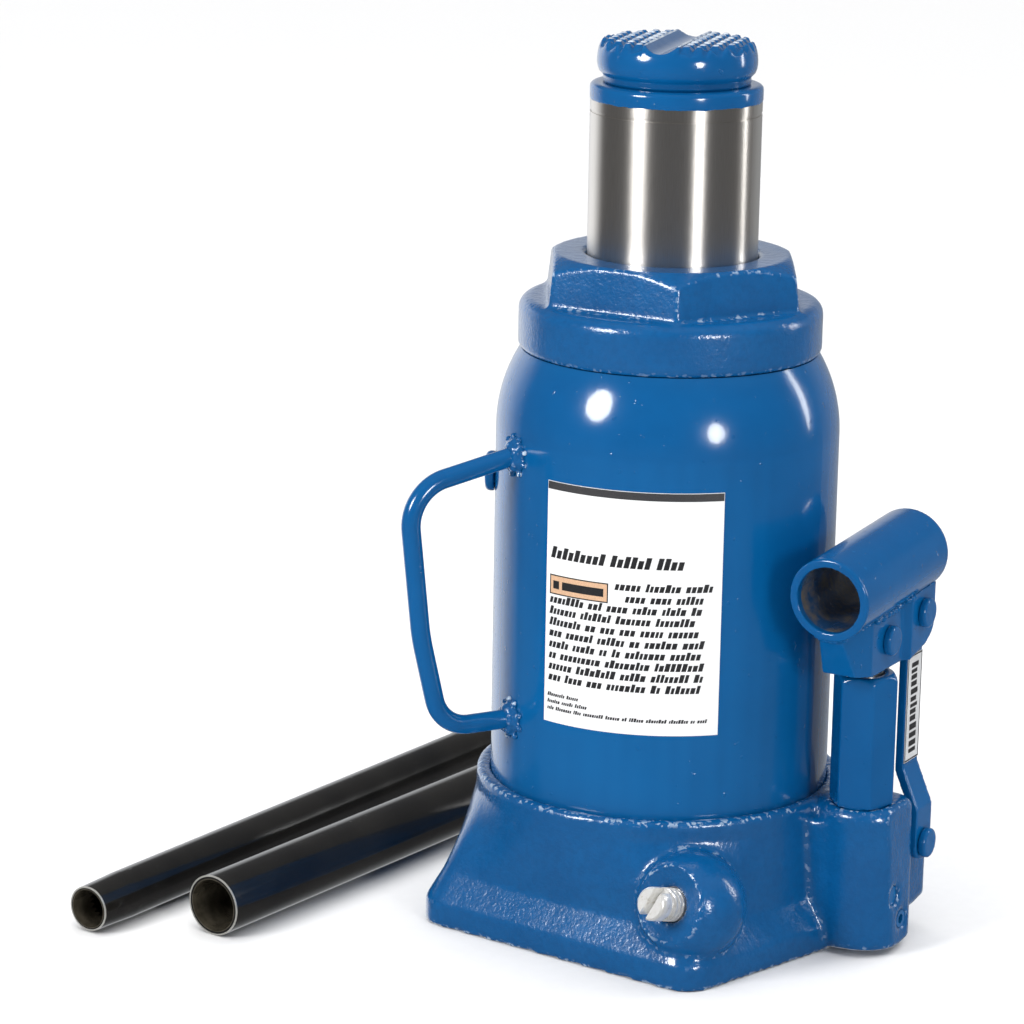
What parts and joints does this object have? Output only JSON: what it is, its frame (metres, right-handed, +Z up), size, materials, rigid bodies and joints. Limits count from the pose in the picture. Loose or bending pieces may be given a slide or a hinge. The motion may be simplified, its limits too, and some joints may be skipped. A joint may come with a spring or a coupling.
{
  "type": "hydraulic bottle jack",
  "caption": "Hydraulic bottle jack: cast base, round oil tank, screw-out saddle on a raised ram, side pump with a swinging socket and linkage, carry handle and loose pumping handle halves.",
  "frame": {"origin": "on the ram's axis, on the floor under the base", "axes": "+Z up along the ram; +X towards the pump; the handle socket and the release valve point towards -Y"},
  "size_m": [0.2457, 0.3204, 0.298],
  "materials": {
    "casting_paint": "gloss paint over sand-cast grain",
    "smooth_paint": "gloss paint",
    "pin_paint": "gloss paint",
    "saddle_paint": "gloss paint over a crosshatched forging",
    "ram_steel": "ground and polished, upright streaks",
    "machined_steel": "machined, oily",
    "spring_steel": "drawn wire",
    "zinc_plate": "zinc plate, turned marks",
    "black_screw": "painted over",
    "bronze": "turned bronze and copper",
    "seal_rubber": "matte, oil resistant",
    "black_gloss": "gloss black paint",
    "label_print": "printed film",
    "serial_print": "printed film"
  },
  "bodies": {
    "base": {"base": "casting_paint", "tank": "smooth_paint", "hydraulic_cylinder": "machined_steel", "top_nut": "casting_paint", "cylinder_gasket": "bronze", "tank_seal": "seal_rubber", "top_nut_o_ring": "seal_rubber", "ram_wiper": "seal_rubber", "carry_handle": "smooth_paint", "carry_handle_welds": "smooth_paint", "tank_label": "label_print", "pump_cylinder": "smooth_paint", "pump_washer": "bronze", "pump_packing": "seal_rubber", "suction_ball": "machined_steel", "suction_spring": "spring_steel", "check_valve_plug": "black_screw", "check_valve_ball": "machined_steel", "relief_screw": "black_screw", "link_pin_lower": "pin_paint", "release_valve_ball": "machined_steel"},
    "ram": {"ram": "ram_steel", "piston_guide_ring": "bronze", "piston_cup_seal": "seal_rubber", "piston_washer": "machined_steel", "piston_nut": "machined_steel"},
    "screw_ring": {"screw_stop_ring": "machined_steel"},
    "extension_screw": {"extension_screw": "saddle_paint"},
    "plunger": {"pump_plunger": "machined_steel", "plunger_seal": "seal_rubber"},
    "socket": {"handle_socket": "smooth_paint", "socket_bracket": "smooth_paint", "socket_welds": "smooth_paint", "plunger_pin": "pin_paint", "link_pin_upper": "pin_paint"},
    "link": {"link_plates": "smooth_paint", "serial_label": "serial_print"},
    "valve_ring": {"release_valve_o_ring": "seal_rubber"},
    "release_valve": {"release_valve": "zinc_plate"},
    "filler_plug": {"filler_plug": "smooth_paint"},
    "tube_plain": {"handle_tube_plain": "black_gloss"},
    "tube_nosed": {"handle_tube_nosed": "black_gloss"}
  },
  "joints": [
    {"name": "ram_lift", "type": "slide", "parent": "base", "child": "ram", "axis": [0, 0, 1], "range_m": [-0.05, 0.095]},
    {"name": "screw_extend", "type": "slide", "parent": "ram", "child": "screw_ring", "axis": [0, 0, 1], "range_m": [0, 0.06]},
    {"name": "screw_turn", "type": "hinge", "parent": "screw_ring", "child": "extension_screw", "pos_m": [0, 0, 0.283], "axis": [0, 0, 1], "range_deg": [0, 3600]},
    {"name": "plunger_stroke", "type": "slide", "parent": "base", "child": "plunger", "axis": [0, 0, 1], "range_m": [-0.0013, 0.0161]},
    {"name": "socket_swing", "type": "hinge", "parent": "plunger", "child": "socket", "pos_m": [0.0759, 0, 0.1075], "axis": [-1, 0, 0], "range_deg": [-3, 40]},
    {"name": "link_lean", "type": "hinge", "parent": "base", "child": "link", "pos_m": [0.0759, 0.0225, 0.0325], "axis": [1, 0, 0], "range_deg": [-0.15, 1.4]},
    {"name": "valve_travel", "type": "slide", "parent": "base", "child": "valve_ring", "axis": [-0.1999, -0.9403, 0.2756], "range_m": [0, 0.002]},
    {"name": "valve_turn", "type": "hinge", "parent": "valve_ring", "child": "release_valve", "pos_m": [0.0398, -0.0656, 0.0275], "axis": [-0.1999, -0.9403, 0.2756], "range_deg": [0, 540]},
    {"name": "plug_pull", "type": "slide", "parent": "base", "child": "filler_plug", "axis": [-0.8988, -0.4384, 0], "range_m": [0, 0.014]},
    {"name": "plain_tube_lift", "type": "slide", "parent": "base", "child": "tube_plain", "axis": [0, 0, 1], "range_m": [0, 0.1]},
    {"name": "nosed_tube_lift", "type": "slide", "parent": "base", "child": "tube_nosed", "axis": [0, 0, 1], "range_m": [0, 0.1]}
  ],
  "couplings": [
    {"joint": "screw_extend", "follows": "screw_turn", "m_per_rad": 0.0009549},
    {"joint": "plunger_stroke", "follows": "socket_swing", "m_per_rad": 0.0225},
    {"joint": "link_lean", "follows": "socket_swing", "ratio": 0.026},
    {"joint": "valve_travel", "follows": "valve_turn", "m_per_rad": 0.0001989}
  ]
}
